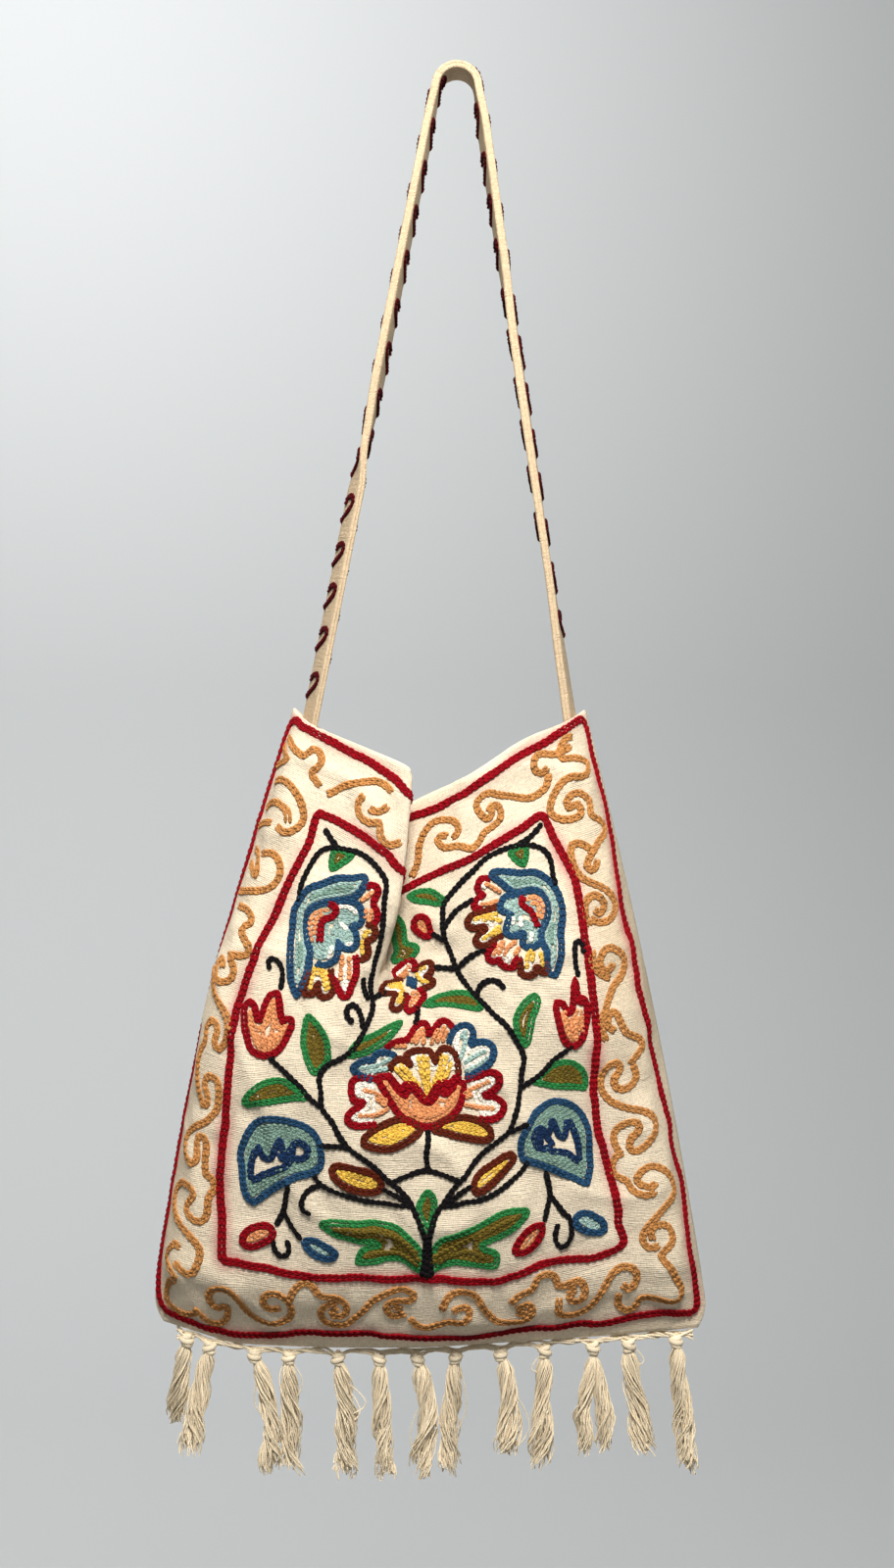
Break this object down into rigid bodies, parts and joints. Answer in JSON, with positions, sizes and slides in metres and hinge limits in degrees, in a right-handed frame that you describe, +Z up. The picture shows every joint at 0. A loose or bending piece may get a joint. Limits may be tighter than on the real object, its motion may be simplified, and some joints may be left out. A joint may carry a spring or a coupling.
{
  "type": "embroidered shoulder bag",
  "caption": "Soft cotton shoulder bag with a chain-stitched floral front, pleated mouth, narrow woven strap and a tasselled bottom edge, shown hanging by its strap.",
  "frame": {"origin": "underside of the strap at the top of its loop, where the bag hangs", "axes": "+Z up, +X to the right of someone who looks at the embroidered front, which faces -Y"},
  "size_m": [0.3359, 0.0878, 0.8657],
  "materials": {
    "panel_cotton": "unbleached cotton twill, matt, worked over with wool chain stitch on the front",
    "strap_cotton": "folded and stitched cotton band, matt",
    "fringe_cotton": "twisted cotton threads, slightly lustrous"
  },
  "bodies": {
    "root": {"front_panel": "panel_cotton", "back_panel": "panel_cotton", "strap": "strap_cotton", "fringe_heading": "fringe_cotton", "tassel_01": "fringe_cotton", "tassel_02": "fringe_cotton", "tassel_03": "fringe_cotton", "tassel_04": "fringe_cotton", "tassel_05": "fringe_cotton", "tassel_06": "fringe_cotton", "tassel_07": "fringe_cotton", "tassel_08": "fringe_cotton", "tassel_09": "fringe_cotton", "tassel_10": "fringe_cotton", "tassel_11": "fringe_cotton", "tassel_12": "fringe_cotton", "tassel_13": "fringe_cotton"}
  },
  "joints": []
}
